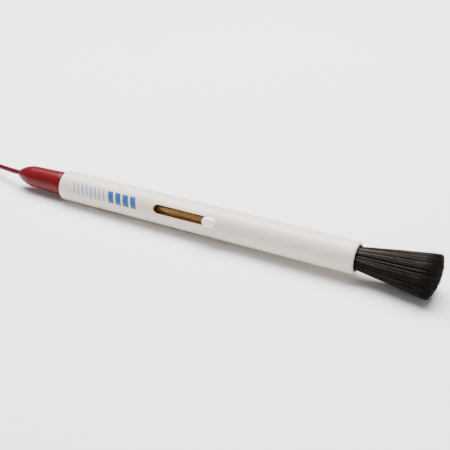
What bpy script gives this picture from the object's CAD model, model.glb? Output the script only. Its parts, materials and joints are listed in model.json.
"""Grounded cleaning brush pen: the looks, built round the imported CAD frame, in metres."""
import json
import math
import random

import bmesh
import bpy
from mathutils import Matrix, Vector

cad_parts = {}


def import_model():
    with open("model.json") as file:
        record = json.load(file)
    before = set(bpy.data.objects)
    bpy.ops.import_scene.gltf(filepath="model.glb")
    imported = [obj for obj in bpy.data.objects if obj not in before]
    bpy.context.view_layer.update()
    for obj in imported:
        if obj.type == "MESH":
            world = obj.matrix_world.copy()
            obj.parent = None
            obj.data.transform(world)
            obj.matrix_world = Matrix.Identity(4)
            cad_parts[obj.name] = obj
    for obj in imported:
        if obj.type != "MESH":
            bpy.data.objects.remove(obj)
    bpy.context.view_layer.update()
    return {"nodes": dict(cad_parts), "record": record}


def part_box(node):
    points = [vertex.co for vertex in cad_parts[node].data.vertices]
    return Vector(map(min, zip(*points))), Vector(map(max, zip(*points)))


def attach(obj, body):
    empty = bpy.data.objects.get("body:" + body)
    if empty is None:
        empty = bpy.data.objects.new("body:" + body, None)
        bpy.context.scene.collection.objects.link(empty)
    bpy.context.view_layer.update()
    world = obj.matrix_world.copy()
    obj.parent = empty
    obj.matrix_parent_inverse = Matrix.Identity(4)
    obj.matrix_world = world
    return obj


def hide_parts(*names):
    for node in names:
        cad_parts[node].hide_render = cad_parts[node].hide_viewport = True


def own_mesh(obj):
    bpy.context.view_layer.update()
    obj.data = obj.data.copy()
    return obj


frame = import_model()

MM = 0.001
random.seed(7)

# ---------------------------------------------------------------- the pen's own frame

SLIDE_AXIS = Vector(frame["record"]["behaviour"]["joints"][0]["axis"])
SOCKET_MOUNT = next(m for m in frame["record"]["mounts"] if m["name"] == "jack_socket")
NECK = 0.7 * MM
REAR = Vector(SOCKET_MOUNT["pos_m"]) + SLIDE_AXIS * NECK
LEAN = math.asin(SLIDE_AXIS.z)
SLOT_ROLL = math.radians(62.5)
PEN = Matrix.Translation(REAR) @ Matrix.Rotation(-LEAN, 4, "Y") @ Matrix.Rotation(SLOT_ROLL, 4, "X")
BARREL_R = 6.35 * MM
BOOT_GAP = 0.9 * MM
BOOT_LENGTH = 24.5 * MM
BOOT_TIP = -(BOOT_GAP + BOOT_LENGTH)
EXIT = PEN @ Vector((BOOT_TIP, 0, 0))

# ---------------------------------------------------------------- camera


def add_camera():
    azimuth = math.radians(27.52)
    elevation = math.radians(30.8)
    distance = 0.350
    forward = Vector((
        -math.sin(azimuth) * math.cos(elevation),
        math.cos(azimuth) * math.cos(elevation),
        -math.sin(elevation),
    ))
    right = Vector((math.cos(azimuth), math.sin(azimuth), 0))
    up = right.cross(forward)
    target = Vector((-0.00462, 0, 0.0063)) + up * 0.00075
    data = bpy.data.cameras.new("camera")
    data.lens = 70.77
    data.sensor_width = 36
    data.clip_start = 0.01
    camera = bpy.data.objects.new("camera", data)
    camera.matrix_world = Matrix.Translation(target - forward * distance) @ Matrix(
        (right, up, -forward)).transposed().to_4x4()
    bpy.context.collection.objects.link(camera)
    bpy.context.scene.camera = camera


add_camera()

# ---------------------------------------------------------------- materials


class Nodes:
    """A material's node tree with short ways to add to it."""

    def __init__(self, name):
        self.material = bpy.data.materials.new(name)
        self.material.use_nodes = True
        self.tree = self.material.node_tree
        self.shader = self.tree.nodes["Principled BSDF"]

    def add(self, kind, **values):
        node = self.tree.nodes.new(kind)
        for name, value in values.items():
            if hasattr(node, name):
                setattr(node, name, value)
            else:
                node.inputs[name.replace("_", " ")].default_value = value
        return node

    def link(self, source, target):
        self.tree.links.new(source, target)

    def set(self, **values):
        for name, value in values.items():
            self.shader.inputs[name.replace("_", " ")].default_value = value

    def place(self):
        return self.add("ShaderNodeTexCoord").outputs["Object"]

    def noise(self, scale, detail=3.0, where=None, roughness=0.55):
        node = self.add("ShaderNodeTexNoise", Scale=scale, Detail=detail, Roughness=roughness)
        self.link(where or self.place(), node.inputs["Vector"])
        return node.outputs["Fac"]

    def ramp(self, factor, stops, interpolation="LINEAR"):
        node = self.add("ShaderNodeValToRGB")
        node.color_ramp.interpolation = interpolation
        elements = node.color_ramp.elements
        while len(elements) > 1:
            elements.remove(elements[-1])
        elements[0].position, elements[0].color = stops[0][0], colour(stops[0][1])
        for position, tone in stops[1:]:
            elements.new(position).color = colour(tone)
        self.link(factor, node.inputs["Fac"])
        return node.outputs["Color"]

    def mix(self, factor, first, second):
        node = self.add("ShaderNodeMix", data_type="RGBA")
        self.link(factor, node.inputs["Factor"])
        for value, socket in ((first, node.inputs[6]), (second, node.inputs[7])):
            if isinstance(value, tuple):
                socket.default_value = colour(value)
            else:
                self.link(value, socket)
        return node.outputs[2]

    def math(self, operation, first, second=0.0):
        node = self.add("ShaderNodeMath", operation=operation)
        for value, socket in ((first, node.inputs[0]), (second, node.inputs[1])):
            if isinstance(value, (int, float)):
                socket.default_value = value
            else:
                self.link(value, socket)
        return node.outputs[0]

    def bump(self, height, strength, distance):
        node = self.add("ShaderNodeBump", Strength=strength, Distance=distance)
        self.link(height, node.inputs["Height"])
        self.link(node.outputs["Normal"], self.shader.inputs["Normal"])

    def roughness(self, factor, low, high):
        self.link(self.ramp(factor, [(0.3, (low,) * 3), (0.7, (high,) * 3)]), self.shader.inputs["Roughness"])

    def base(self, source):
        self.link(source, self.shader.inputs["Base Color"])


def colour(tone):
    return (*tone, 1.0) if len(tone) == 3 else tone


GRAIN_SCALE = 4000
GRAIN_DEPTH = 0.00005


def speckled(name, low, high, scale, roughness, metallic=0.0, bump=0.0, gloss=0.5):
    """A material whose colour wanders between two tones, with uneven gloss and a fine grain."""
    nodes = Nodes(name)
    wander = nodes.noise(scale)
    nodes.base(nodes.ramp(wander, [(0.3, low), (0.7, high)]))
    nodes.roughness(nodes.noise(scale * 3), *roughness)
    nodes.set(Metallic=metallic, Specular_IOR_Level=gloss)
    if bump:
        nodes.bump(nodes.noise(GRAIN_SCALE, 2.0), bump, GRAIN_DEPTH)
    return nodes.material


def pen_place(nodes):
    """The place on the pen: along it in millimetres, and round it from the slot's middle in millimetres."""
    mapping = nodes.add("ShaderNodeMapping", vector_type="TEXTURE")
    mapping.inputs["Location"].default_value = PEN.to_translation()
    mapping.inputs["Rotation"].default_value = PEN.to_euler("XYZ")
    nodes.link(nodes.place(), mapping.inputs["Vector"])
    split = nodes.add("ShaderNodeSeparateXYZ")
    nodes.link(mapping.outputs["Vector"], split.inputs["Vector"])
    along = nodes.math("MULTIPLY", split.outputs["X"], 1000)
    angle = nodes.math("ARCTAN2", split.outputs["Y"], split.outputs["Z"])
    round_it = nodes.math("MULTIPLY", angle, BARREL_R * 1000)
    return along, round_it


PRINT_START = 7.2
PRINT_END = 38.6
PRINT_HALF_HEIGHT = 2.45
PRINT_SLANT = 0.28
PALE_INK = (0.22, 0.31, 0.45)
INK = (0.010, 0.065, 0.24)
PLASTIC_LOW = (0.655, 0.56, 0.485)
PLASTIC_HIGH = (0.695, 0.60, 0.525)
# Where each printed bar starts and ends along the pen, in millimetres.
PALE_BARS = ((7.6, 8.5), (9.7, 10.6), (11.8, 12.7), (13.9, 14.8), (16.0, 16.9), (18.1, 19.0), (20.2, 21.1),
             (22.3, 23.2))
BOLD_BARS = ((25.0, 27.6), (28.6, 31.2), (32.2, 34.8), (35.8, 38.4))


def barrel_material():
    """Satin white plastic, with a plain pattern of slanted bars where the pen carries its print."""
    nodes = Nodes("white_barrel")
    along, round_it = pen_place(nodes)
    plastic = nodes.ramp(nodes.noise(90), [(0.3, PLASTIC_LOW), (0.7, PLASTIC_HIGH)])
    slanted = nodes.math("ADD", along, nodes.math("MULTIPLY", round_it, PRINT_SLANT))
    share = nodes.math("DIVIDE", nodes.math("SUBTRACT", slanted, PRINT_START), PRINT_END - PRINT_START)
    clear = (0.0, 0.0, 0.0)
    stops = [(0.0, clear)]
    for bars, level in ((PALE_BARS, 0.5), (BOLD_BARS, 1.0)):
        for start, end in bars:
            stops.append(((start - PRINT_START) / (PRINT_END - PRINT_START), (level,) * 3))
            stops.append(((end - PRINT_START) / (PRINT_END - PRINT_START), clear))
    level = nodes.ramp(share, stops, "CONSTANT")
    tall = nodes.math("LESS_THAN", nodes.math("ABSOLUTE", round_it), PRINT_HALF_HEIGHT)
    before_end = nodes.math("LESS_THAN", slanted, PRINT_END)
    after_start = nodes.math("GREATER_THAN", slanted, PRINT_START)
    inside = nodes.math("MULTIPLY", tall, nodes.math("MULTIPLY", before_end, after_start))
    worn = nodes.math("GREATER_THAN", nodes.noise(900, 4.0), 0.36)
    shown = nodes.math("MULTIPLY", inside, nodes.math("ADD", nodes.math("MULTIPLY", worn, 0.12), 0.86))
    inked = nodes.math("GREATER_THAN", level, 0.25)
    bold = nodes.math("GREATER_THAN", level, 0.75)
    ink = nodes.mix(bold, PALE_INK, INK)
    nodes.base(nodes.mix(nodes.math("MULTIPLY", shown, inked), plastic, ink))
    scuffs = nodes.add("ShaderNodeCombineXYZ")
    nodes.link(nodes.math("MULTIPLY", along, 0.05), scuffs.inputs["X"])
    nodes.link(nodes.math("MULTIPLY", round_it, 2.5), scuffs.inputs["Y"])
    scuffed = nodes.noise(2.0, 5.0, scuffs.outputs["Vector"])
    nodes.roughness(nodes.math("MULTIPLY", scuffed, nodes.math("ADD", nodes.noise(60, 4.0), 0.5)), 0.28, 0.46)
    nodes.bump(nodes.math("ADD", nodes.noise(2500, 3.0), scuffed), 0.10, 0.00004)
    nodes.set(Specular_IOR_Level=0.45, Subsurface_Weight=0.05, Subsurface_Scale=0.001)
    return nodes.material


def brass_material(name, low, high):
    """Drawn brass, with fine scratches along the way that it slides and darker tarnish."""
    nodes = Nodes(name)
    along, round_it = pen_place(nodes)
    streaks = nodes.add("ShaderNodeCombineXYZ")
    nodes.link(nodes.math("MULTIPLY", along, 0.15), streaks.inputs["X"])
    nodes.link(nodes.math("MULTIPLY", round_it, 6.0), streaks.inputs["Y"])
    scratch = nodes.noise(3.0, 4.0, streaks.outputs["Vector"])
    tarnish = nodes.noise(180, 4.0)
    nodes.base(nodes.mix(scratch, nodes.ramp(tarnish, [(0.3, low), (0.7, high)]), high))
    nodes.roughness(scratch, 0.24, 0.42)
    nodes.bump(scratch, 0.15, 0.00003)
    nodes.set(Metallic=1.0)
    return nodes.material


def fibre_material():
    """Dark hair, each one its own brown, from the colour that its mesh carries."""
    nodes = Nodes("dark_bristle")
    tint = nodes.add("ShaderNodeVertexColor", layer_name="tone")
    flecks = nodes.ramp(nodes.noise(1500, 3.0), [(0.35, (0.55, 0.55, 0.55)), (0.7, (1.25, 1.2, 1.15))])
    product = nodes.add("ShaderNodeMix", data_type="RGBA", blend_type="MULTIPLY")
    product.inputs["Factor"].default_value = 1.0
    nodes.link(tint.outputs["Color"], product.inputs[6])
    nodes.link(flecks, product.inputs[7])
    nodes.base(product.outputs[2])
    nodes.roughness(nodes.noise(900), 0.38, 0.55)
    nodes.set(Specular_IOR_Level=0.16)
    return nodes.material


def strap_material():
    """Woven black strap."""
    nodes = Nodes("black_strap")
    weave = nodes.add("ShaderNodeTexWave", Scale=900.0, Distortion=1.0, Detail=2.0)
    nodes.link(nodes.place(), weave.inputs["Vector"])
    nodes.base(nodes.ramp(weave.outputs["Fac"], [(0.2, (0.012, 0.012, 0.014)), (0.8, (0.04, 0.04, 0.045))]))
    nodes.roughness(nodes.noise(800), 0.75, 0.95)
    nodes.bump(weave.outputs["Fac"], 0.5, 0.0001)
    return nodes.material


WHITE_KNOB = speckled("white_knob", (0.84, 0.83, 0.82), (0.89, 0.88, 0.87), 150, (0.26, 0.36), bump=0.08)
WHITE_BARREL = barrel_material()
BLACK_PLASTIC = speckled(
    "black_plastic", (0.012, 0.011, 0.011), (0.028, 0.026, 0.026), 300, (0.4, 0.55), bump=0.2)
BRASS = brass_material("brass", (0.52, 0.28, 0.08), (0.86, 0.58, 0.25))
NICKEL = speckled("nickel", (0.41, 0.395, 0.37), (0.43, 0.415, 0.39), 220, (0.23, 0.26), 1.0, 0.04)
SPRING_STEEL = speckled("spring_steel", (0.30, 0.30, 0.31), (0.45, 0.45, 0.46), 500, (0.22, 0.38), 1.0, 0.15)
ALUMINIUM = speckled("aluminium", (0.62, 0.62, 0.63), (0.74, 0.74, 0.75), 400, (0.28, 0.42), 1.0, 0.2)
RUBBER = speckled("rubber", (0.012, 0.012, 0.012), (0.03, 0.03, 0.03), 500, (0.6, 0.8), bump=0.3)
RESIN = speckled("resin", (0.10, 0.06, 0.03), (0.18, 0.11, 0.05), 400, (0.25, 0.4), bump=0.1)
RED_VINYL = speckled(
    "red_vinyl", (0.092, 0.005, 0.007), (0.110, 0.006, 0.008), 60, (0.24, 0.30), bump=0.04, gloss=0.13)
RED_WIRE = speckled(
    "red_wire", (0.070, 0.003, 0.011), (0.085, 0.004, 0.014), 60, (0.26, 0.34), bump=0.04, gloss=0.16)
BRISTLE = fibre_material()
STRAP = strap_material()

NODE_MATERIALS = {
    WHITE_BARREL: ("barrel",),
    WHITE_KNOB: ("knob",),
    BLACK_PLASTIC: ("rear_insert", "guide_ring"),
    BRASS: ("slide_tube", "contact_rod", "knob_pin", "plug_core"),
    NICKEL: ("socket", "socket_washer", "socket_nut", "plug_leaves", "plug_screw",
             "clip_frame", "clip_jaw", "clip_pin", "clip_screw"),
    ALUMINIUM: ("ferrule",),
    RUBBER: ("friction_ring",),
    RESIN: ("bristle_resin",),
}
for material, names in NODE_MATERIALS.items():
    for name in names:
        node_object = frame["nodes"][name]
        node_object.data.materials.clear()
        node_object.data.materials.append(material)

# ---------------------------------------------------------------- ways of making a piece


def piece_from(name, shape_data, material, body, replaced=()):
    """Adds a finished mesh or curve as a piece that rides on a body."""
    made = bpy.data.objects.new(name, shape_data)
    shape_data.materials.append(material)
    bpy.context.collection.objects.link(made)
    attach(made, body)
    if replaced:
        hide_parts(*replaced)
    return made


def mesh_data(name, mesh):
    """The finished mesh, with every face turned outwards."""
    bmesh.ops.recalc_face_normals(mesh, faces=mesh.faces)
    data = bpy.data.meshes.new(name)
    mesh.to_mesh(data)
    mesh.free()
    return data


def bridge(mesh, first, second):
    """The faces between two closed rings of points."""
    count = len(first)
    return [
        mesh.faces.new((first[index], first[(index + 1) % count], second[(index + 1) % count], second[index]))
        for index in range(count)
    ]


def lathe(name, profile, place, steps=96):
    """A mesh turned about its own X axis from a closed outline of (station, radius) points, in metres."""
    mesh = bmesh.new()
    rings = []
    for station, radius in profile:
        ring = [
            mesh.verts.new(place @ Vector((
                station,
                radius * math.sin(2 * math.pi * step / steps),
                radius * math.cos(2 * math.pi * step / steps),
            )))
            for step in range(steps)
        ]
        rings.append(ring)
    for first, second in zip(rings, rings[1:] + rings[:1]):
        bridge(mesh, first, second)
    data = mesh_data(name, mesh)
    data.shade_smooth()
    return data


# ---------------------------------------------------------------- lead

WIRE_DIAMETER = 2.2 * MM
FLOOR_UNDER_EXIT = Vector((EXIT.x, EXIT.y, 0))
EXIT_HEIGHT = EXIT.z / MM
LEAD_POINTS = [
    (5.5, 0.0, EXIT_HEIGHT + 0.09),
    (-4.0, 0.0, EXIT_HEIGHT - 0.06),
    (-13.5, 2.6, EXIT_HEIGHT - 1.2),
    (-23.0, 5.9, 2.6),
    (-31.0, 8.3, 1.7),
    (-38.5, 9.0, 1.52),
]
TAIL_POINTS = [
    (-70.5, 9.0, 8.1),
    (-78.0, 8.8, 7.4),
    (-84.5, 7.8, 5.4),
    (-90.5, 6.6, 3.2),
    (-96.5, 5.093, 1.75),
    (-108.4, 3.843, 1.75),
]
HANK_START = -38.0
HANK_RUN = 33.0
FOLD_RADIUS = 7.9
FIRST_LAYER = 1.53
# Each turn's column, outer (1) or inner (-1), and its layer from the bottom.
TURN_SLOTS = [(1, 0), (-1, 0), (-1, 1), (1, 1), (1, 2), (-1, 2), (-1, 3), (1, 3)]
COLUMN_STEP = 1.1
LAYER_STEP = 2.2
# The smooth line runs inside its control points, so those of a fold lie this much further out.
ARC_GROWTH = 1.035
RUN_SHARES = (0.06, 0.35, 0.65, 0.94)
ARC_ANGLES = (15, 50, 90, 130, 165)


def slot_at(turn, share):
    """The radius and height between one turn's slot and the next one's, eased from one to the other."""
    eased = share * share * (3 - 2 * share)
    column, layer = (
        this + (following - this) * eased
        for this, following in zip(TURN_SLOTS[turn], TURN_SLOTS[turn + 1])
    )
    return FOLD_RADIUS + column * COLUMN_STEP, FIRST_LAYER + layer * LAYER_STEP


def fold_point(end, way, angle, radius, height):
    """A point this many degrees round a fold that bulges this way along X from its end of the run."""
    bend = math.radians(angle)
    wide = way * radius * ARC_GROWTH
    return end + wide * math.sin(bend), -wide * math.cos(bend), height


def hank_points():
    """The turns of the hank, which change slot as they come round the near fold."""
    points = []
    far = HANK_START - HANK_RUN
    for turn in range(len(TURN_SLOTS) - 1):
        radius, height = slot_at(turn, 0)
        points += [(HANK_START - HANK_RUN * share, radius, height) for share in RUN_SHARES]
        points += [fold_point(far, -1, angle, radius, height) for angle in ARC_ANGLES]
        points += [(far + HANK_RUN * share, -radius, height) for share in RUN_SHARES]
        points += [fold_point(HANK_START, 1, angle, *slot_at(turn, angle / 180)) for angle in ARC_ANGLES]
    radius, height = slot_at(len(TURN_SLOTS) - 2, 1)
    points += [(HANK_START - HANK_RUN * share, radius, height) for share in RUN_SHARES]
    # The lead's last point and the tail's first one stand in for the ends of these runs.
    return points[1:-1]


def nurbs_curve(name, points, diameter, material, body, replaced=()):
    """A round tube along one open smooth spline."""
    curve = bpy.data.curves.new(name, "CURVE")
    curve.dimensions = "3D"
    curve.bevel_depth = diameter / 2
    curve.bevel_resolution = 6
    curve.resolution_u = 6
    curve.use_fill_caps = True
    spline = curve.splines.new("NURBS")
    spline.points.add(len(points) - 1)
    for point, place in zip(spline.points, points):
        point.co = (*place, 1)
    spline.order_u = 3
    spline.use_endpoint_u = True
    return piece_from(name, curve, material, body, replaced)


route = [FLOOR_UNDER_EXIT + Vector(point) * MM for point in LEAD_POINTS + hank_points() + TAIL_POINTS]
lead = nurbs_curve(
    "lead", route, WIRE_DIAMETER, RED_WIRE, "plug", ("cord_lead", "cord_hank", "cord_tail"))


def strap():
    """A flat strap round the hank, with its end lapped over on top."""
    low, high = (Vector(corner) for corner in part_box("hank_tie"))
    middle = (low + high) / 2
    half = (high - low) / 2
    thickness = 0.4 * MM
    corner = 1.6 * MM
    steps = 6
    outline = []
    for side_y, side_z, first in ((1, 1, 0), (-1, 1, 90), (-1, -1, 180), (1, -1, 270)):
        centre = Vector((0, side_y * (half.y - corner), side_z * (half.z - corner)))
        for step in range(steps + 1):
            angle = math.radians(first + 90 * step / steps)
            outline.append((centre, angle))
    mesh = bmesh.new()

    def band(pairs, grow, closed):
        rows = []
        for centre, angle in pairs:
            way = Vector((0, math.cos(angle), math.sin(angle)))
            row = []
            for side, depth in ((-1, 0), (-1, 1), (1, 1), (1, 0)):
                place = middle + centre + way * (corner + grow - thickness * depth)
                row.append(mesh.verts.new(place + Vector((side * half.x, 0, 0))))
            rows.append(row)
        for first, second in zip(rows, rows[1:] + (rows[:1] if closed else [])):
            bridge(mesh, first, second)
        if not closed:
            mesh.faces.new(rows[0])
            mesh.faces.new(rows[-1])

    band(outline, 0.0, True)
    lap = [(Vector((0, y * MM, half.z - corner)), math.pi / 2) for y in (-4, -2, 0, 2, 4, 5.5)]
    band(lap, thickness, False)
    made = piece_from("strap", mesh_data("strap", mesh), STRAP, "plug", ("hank_tie",))
    bevel = made.modifiers.new("soft_edge", "BEVEL")
    bevel.width = 0.12 * MM
    bevel.segments = 2
    bevel.limit_method = "ANGLE"
    return made


strap_piece = strap()

# ---------------------------------------------------------------- boot

BOOT_NOSE = 9 * MM
BOOT_TIP_R = 1.5 * MM
BOOT_NECK_R = 4.6 * MM
BOOT_R = 5.1 * MM
BOOT_BORE_R = 1.12 * MM
BOOT_LIP = 0.55 * MM
CORE_R = 3.55 * MM
CORE_DEPTH = 11 * MM
MOUTH_BEVEL = 0.3 * MM


def boot():
    """The plug's moulded handle: a pointed nose, a slightly tapered body and a rolled mouth."""
    outside = []
    nose_steps = 22
    for step in range(nose_steps + 1):
        share = step / nose_steps
        outside.append((BOOT_NOSE * share, BOOT_TIP_R + (BOOT_NECK_R - BOOT_TIP_R) * (1 - (1 - share) ** 2)))
    taper_steps = 8
    taper_end = BOOT_LENGTH - BOOT_LIP
    for step in range(1, taper_steps + 1):
        share = step / taper_steps
        radius = BOOT_NECK_R + (BOOT_R - BOOT_NECK_R) * share
        outside.append((BOOT_NOSE + (taper_end - BOOT_NOSE) * share, radius))
    for angle in map(math.radians, (18, 36, 54, 72, 90)):
        outside.append((taper_end + BOOT_LIP * math.sin(angle), BOOT_R - BOOT_LIP * (1 - math.cos(angle))))
    outside.append((BOOT_LENGTH, CORE_R + MOUTH_BEVEL))
    inside = [
        (BOOT_LENGTH - MOUTH_BEVEL, CORE_R),
        (BOOT_LENGTH - CORE_DEPTH, CORE_R),
        (BOOT_LENGTH - CORE_DEPTH - 0.4 * MM, BOOT_BORE_R),
        (0.25 * MM, BOOT_BORE_R),
    ]
    rolled_tip = [(0.0, BOOT_BORE_R + 0.1 * MM), (-0.05 * MM, (BOOT_BORE_R + BOOT_TIP_R) / 2)]
    place = PEN @ Matrix.Translation((BOOT_TIP, 0, 0))
    data = lathe("boot", outside + inside + rolled_tip, place)
    return piece_from("boot", data, RED_VINYL, "plug", ("plug_boot",))


boot_piece = boot()

# ---------------------------------------------------------------- clip's sleeve and spring

CLIP_FORWARD = Vector(next(m for m in frame["record"]["mounts"] if m["name"] == "clip_jaws")["axis"])
HINGE = next(j for j in frame["record"]["behaviour"]["joints"] if j["name"] == "clip_open")


def sleeve():
    """A short vinyl sleeve over the lead where it enters the clip, with moulded grip rings."""
    low, high = (Vector(corner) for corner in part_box("clip_sleeve"))
    centre = (low + high) / 2
    turn = CLIP_FORWARD.to_track_quat("X", "Z").to_matrix().to_4x4()
    place = Matrix.Translation(centre) @ turn
    half = 2.25 * MM
    thick = 1.75 * MM
    bore = 1.12 * MM
    profile = [(-half, bore + 0.22 * MM), (-half + 0.1 * MM, bore + 0.3 * MM)]
    thin = 1.45 * MM
    rings = 3
    pitch = 0.75 * MM
    bead = ((0.0, -0.06), (0.15, 0.04), (0.45, 0.06), (0.6, -0.04))
    for ring in range(rings):
        start = -half + 0.3 * MM + ring * pitch
        radius = thin + (thick - thin) * ring / rings
        profile += [(start + forward * MM, radius + rise * MM) for forward, rise in bead]
    edge = 0.2 * MM
    profile += [(half - 1.6 * MM, thick), (half - edge, thick), (half, thick - edge)]
    profile += [(half, bore), (-half, bore)]
    data = lathe("sleeve", profile, place, 48)
    return piece_from("sleeve", data, RED_VINYL, "plug", ("clip_sleeve",))


def spring():
    """The clip's coiled spring round its pin, with a leg against the jaw and one against the frame."""
    low, high = (Vector(corner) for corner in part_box("clip_spring"))
    centre = (low + high) / 2
    across = Vector(HINGE["axis"]).normalized()
    up = Vector((0, 0, 1))
    # How far each leg reaches along the clip, and how far up, from the pin's middle.
    jaw_leg = (5 * MM, -1.55 * MM)
    frame_leg = (-4.2 * MM, 0.9 * MM)
    wire = 0.45 * MM
    coil_radius = 1.3 * MM
    half_turns = 11
    per_half_turn = 6
    width = 2.8 * MM
    points = [centre - across * width / 2 + CLIP_FORWARD * jaw_leg[0] + up * jaw_leg[1]]
    for step in range(half_turns * per_half_turn + 1):
        angle = -math.pi / 2 + math.pi * step / per_half_turn
        side = width * (step / (half_turns * per_half_turn) - 0.5)
        way = CLIP_FORWARD * math.cos(angle) + up * math.sin(angle)
        points.append(centre + across * side + way * coil_radius)
    points.append(centre + across * width / 2 + CLIP_FORWARD * frame_leg[0] + up * frame_leg[1])
    return nurbs_curve("spring", points, wire, SPRING_STEEL, "plug", ("clip_spring",))


sleeve_piece = sleeve()
spring_piece = spring()

# ---------------------------------------------------------------- brush

SECTORS = 16
HAIRS_PER_SECTOR = 230
ROOT_STATION = 118.1 * MM
MOUTH_STATION = 132 * MM
ROOT_R = 4.3 * MM
RIM_STATION = 160 * MM
RIM_R = 8.5 * MM
HAIR_R = 0.11 * MM
# The share of its width that the brush keeps when it is drawn into the barrel.
HAIR_TONES = ((0.006, 0.004, 0.003), (0.012, 0.008, 0.006), (0.030, 0.021, 0.015), (0.070, 0.053, 0.040),
              (0.050, 0.018, 0.009), (0.17, 0.145, 0.12))
TONE_WEIGHTS = (36, 28, 14, 9, 8, 5)
TIP_TONE = (0.008, 0.006, 0.004)
# How the cut end lies: where its middle is, how far it swells there, and how far it leans back at the bottom.
CUT_STATION = 162.9 * MM
CUT_LEAN = 1.2 * MM
CUT_DOME = 2.1 * MM
UP_IN_PEN = PEN.to_3x3().inverted() @ Vector((0, 0, 1))


def brush_radius(station):
    """The brush's outer radius at a place along the pen: straight in the barrel, then flared."""
    if station <= MOUTH_STATION:
        return ROOT_R
    share = (station - MOUTH_STATION) / (RIM_STATION - MOUTH_STATION)
    return ROOT_R + (RIM_R - ROOT_R) * share ** 0.93


def cut_at(share, angle):
    """Where the brush is cut, this share of the way out and this far round."""
    height = share * (math.sin(angle) * UP_IN_PEN.y + math.cos(angle) * UP_IN_PEN.z)
    return CUT_STATION + CUT_LEAN * height - CUT_DOME * share ** 2


def hair_path(share, angle, reach, wander, rise):
    """Points along one hair, from its root to its trimmed tip."""
    stations = (ROOT_STATION, MOUTH_STATION - 1 * MM, MOUTH_STATION + 7 * MM, MOUTH_STATION + 16 * MM,
                MOUTH_STATION + 24 * MM, reach)
    points = []
    for index, station in enumerate(stations):
        along = index / (len(stations) - 1)
        radius = share * brush_radius(station) + rise * along ** 2
        turn = angle + wander * along ** 2
        point = PEN @ Vector((station, radius * math.sin(turn), radius * math.cos(turn)))
        point.z = max(point.z, HAIR_R)
        points.append(point)
    return points


def add_hair(mesh, tone_layer, points, radius, tone):
    """A three-sided hair that thins towards its tip, closed at both ends."""
    rings = []
    spin = random.random() * math.tau
    for index, point in enumerate(points):
        thin = radius * (1 - 0.55 * (index / (len(points) - 1)) ** 2)
        rings.append([
            mesh.verts.new(point + Vector((
                0, math.cos(spin + side * math.tau / 3) * thin, math.sin(spin + side * math.tau / 3) * thin)))
            for side in range(3)
        ])
    faces = [face for first, second in zip(rings, rings[1:]) for face in bridge(mesh, first, second)]
    faces.append(mesh.faces.new(rings[0][::-1]))
    faces.append(mesh.faces.new(rings[-1]))
    tips = set(rings[-1])
    for face in faces:
        for loop in face.loops:
            loop[tone_layer] = (*(TIP_TONE if loop.vert in tips else tone), 1.0)


def on_brush(station, share, angle):
    """A place in the brush, this share of the way out at this station."""
    radius = share * brush_radius(station)
    return Vector((station, radius * math.sin(angle), radius * math.cos(angle)))


def add_core(mesh, tone_layer, start, end):
    """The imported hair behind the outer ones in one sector, as a closed dark wedge."""
    stations = (ROOT_STATION, *(MOUTH_STATION + out * MM for out in (0, 8, 16, 23)))
    spokes = 4
    fill = 0.88
    angles = [start + (end - start) * spoke / spokes for spoke in range(spokes + 1)]
    rings = []
    for station in stations:
        middle = mesh.verts.new(PEN @ Vector((station, 0, 0)))
        rings.append([middle] + [mesh.verts.new(PEN @ on_brush(station, fill, angle)) for angle in angles])
    back = 2.6 * MM
    front = [mesh.verts.new(PEN @ Vector((cut_at(0, 0) - back, 0, 0)))]
    for angle in angles:
        front.append(mesh.verts.new(PEN @ on_brush(cut_at(fill, angle) - back, fill, angle)))
    rings.append(front)
    faces = [face for first, second in zip(rings, rings[1:]) for face in bridge(mesh, first, second)]
    faces.append(mesh.faces.new(rings[0][::-1]))
    for first, second in zip(front[1:], front[2:]):
        faces.append(mesh.faces.new((front[0], first, second)))
    for face in faces:
        for loop in face.loops:
            loop[tone_layer] = (*TIP_TONE, 1.0)


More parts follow.
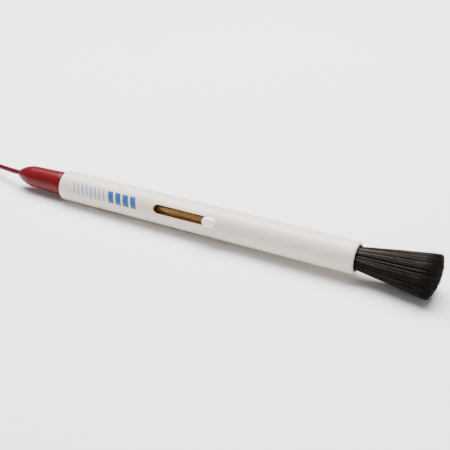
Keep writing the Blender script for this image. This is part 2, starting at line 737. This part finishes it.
def tuft(sector):
    """One sector of the brush."""
    start = math.tau * sector / SECTORS
    end = math.tau * (sector + 1) / SECTORS
    mesh = bmesh.new()
    tone_layer = mesh.loops.layers.float_color.new("tone")
    add_core(mesh, tone_layer, start, end)
    for _ in range(HAIRS_PER_SECTOR):
        share = math.sqrt(random.random())
        angle = random.uniform(start, end)
        reach = cut_at(share, angle) + random.gauss(0, 0.28 * MM)
        stray = random.random() < 0.05
        wander = random.gauss(0, 0.10 if stray else 0.035)
        rise = random.gauss(0, 0.55 * MM if stray else 0.2 * MM)
        path = hair_path(share, angle, reach, wander, rise)
        tone = random.choices(HAIR_TONES, TONE_WEIGHTS)[0]
        add_hair(mesh, tone_layer, path, HAIR_R * random.uniform(0.75, 1.2), tone)
    name = f"tuft_{sector:02d}"
    data = mesh_data(name, mesh)
    data.shade_smooth()
    made = piece_from(name, data, BRISTLE, "brush", ("bristles",))
    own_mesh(made)


for sector_number in range(SECTORS):
    tuft(sector_number)

# ---------------------------------------------------------------- floor and light


def floor_material():
    nodes = Nodes("pale_floor")
    nodes.base(nodes.ramp(nodes.noise(6), [(0.3, (0.86, 0.86, 0.86)), (0.7, (0.88, 0.88, 0.88))]))
    nodes.set(Roughness=0.9, Specular_IOR_Level=0.1)
    return nodes.material


def stage():
    reach = 2.0
    level = -0.0002
    data = bpy.data.meshes.new("floor")
    corners = [(x * reach, y * reach, level) for x, y in ((-1, -1), (1, -1), (1, 1), (-1, 1))]
    data.from_pydata(corners, [], [(0, 1, 2, 3)])
    data.materials.append(floor_material())
    floor = bpy.data.objects.new("floor", data)
    bpy.context.collection.objects.link(floor)


def area_light(name, place, size, power, aim=(0, 0, 0)):
    data = bpy.data.lights.new(name, "AREA")
    data.shape = "RECTANGLE"
    data.size, data.size_y = size
    data.energy = power
    light = bpy.data.objects.new(name, data)
    light.location = place
    light.rotation_euler = (Vector(aim) - Vector(place)).to_track_quat("-Z", "Y").to_euler()
    bpy.context.collection.objects.link(light)


def world():
    made = bpy.data.worlds.new("studio")
    made.use_nodes = True
    background = made.node_tree.nodes["Background"]
    background.inputs["Color"].default_value = (1, 1, 1, 1)
    background.inputs["Strength"].default_value = 0.22
    bpy.context.scene.world = made


stage()
world()
area_light("key", (-0.12, 0.24, 0.75), (0.9, 0.6), 33)
area_light("fill", (0.55, -0.45, 0.35), (0.4, 0.4), 1.0)
